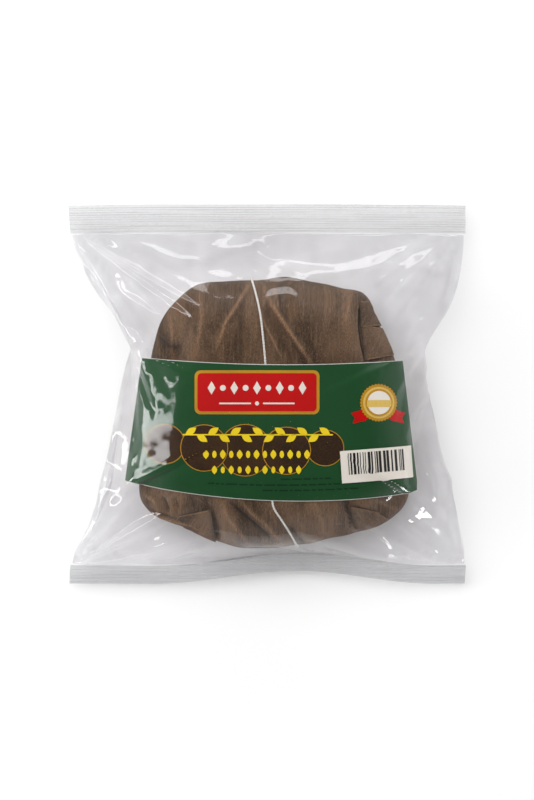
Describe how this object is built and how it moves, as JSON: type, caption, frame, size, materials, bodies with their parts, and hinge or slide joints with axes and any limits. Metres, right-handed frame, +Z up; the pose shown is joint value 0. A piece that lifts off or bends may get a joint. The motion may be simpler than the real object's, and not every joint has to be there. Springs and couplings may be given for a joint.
{
  "type": "packed jaggery block",
  "caption": "Round block of palm jaggery wrapped in dried leaf and tied with string, in a clear heat-sealed film bag with a printed paper band.",
  "frame": {"origin": "under the middle of the bag, on the surface that it lies on", "axes": "+Z up through the labelled side, +X to the right across the label, +Y towards the top seal"},
  "size_m": [0.18, 0.1716, 0.0485],
  "materials": {
    "film": "clear, glossy, with a ribbed band at each end",
    "leaf": "dull dried leaf with fine fibres",
    "label": "printed paper, half-gloss",
    "string": "twisted cotton"
  },
  "bodies": {
    "root": {"bag": "film"}
  },
  "joints": []
}
